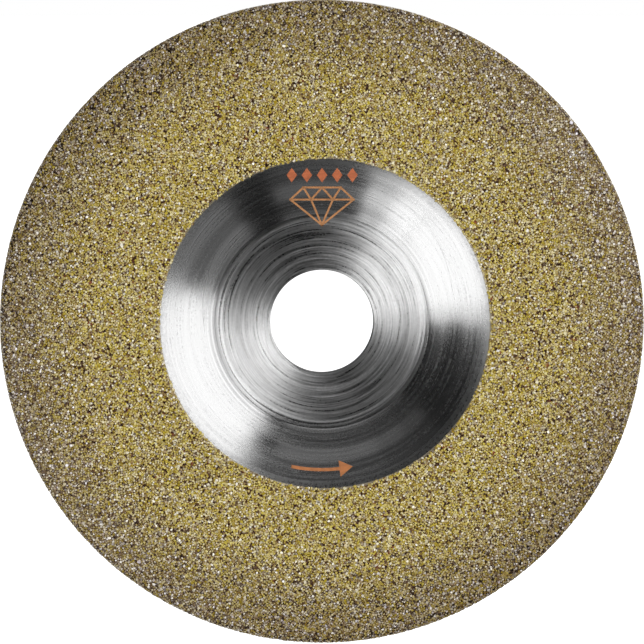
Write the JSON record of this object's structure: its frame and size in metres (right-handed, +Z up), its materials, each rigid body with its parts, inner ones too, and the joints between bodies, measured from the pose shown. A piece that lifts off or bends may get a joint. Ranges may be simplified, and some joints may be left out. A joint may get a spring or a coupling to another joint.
{
  "type": "diamond grinding wheel",
  "caption": "Depressed-centre steel grinding disc with an electroplated diamond grit working face, a plain spindle bore and flat clamping faces.",
  "frame": {"origin": "on the axis of the bore, at the middle of the bore's length", "axes": "+Y runs along the wheel's axis towards its back, the machine side; the working face looks towards -Y; +Z is up and +X is right as the working face is seen"},
  "size_m": [0.1, 0.0076, 0.1],
  "materials": {
    "turned_steel": "turned, with fine concentric grooves",
    "nickel": "electroplated, dull and nodular",
    "diamond": "yellow faceted crystals, glossy"
  },
  "bodies": {
    "root": {"wheel_body": "turned_steel", "nickel_bond": "nickel", "diamond_grit": "diamond"}
  },
  "joints": []
}
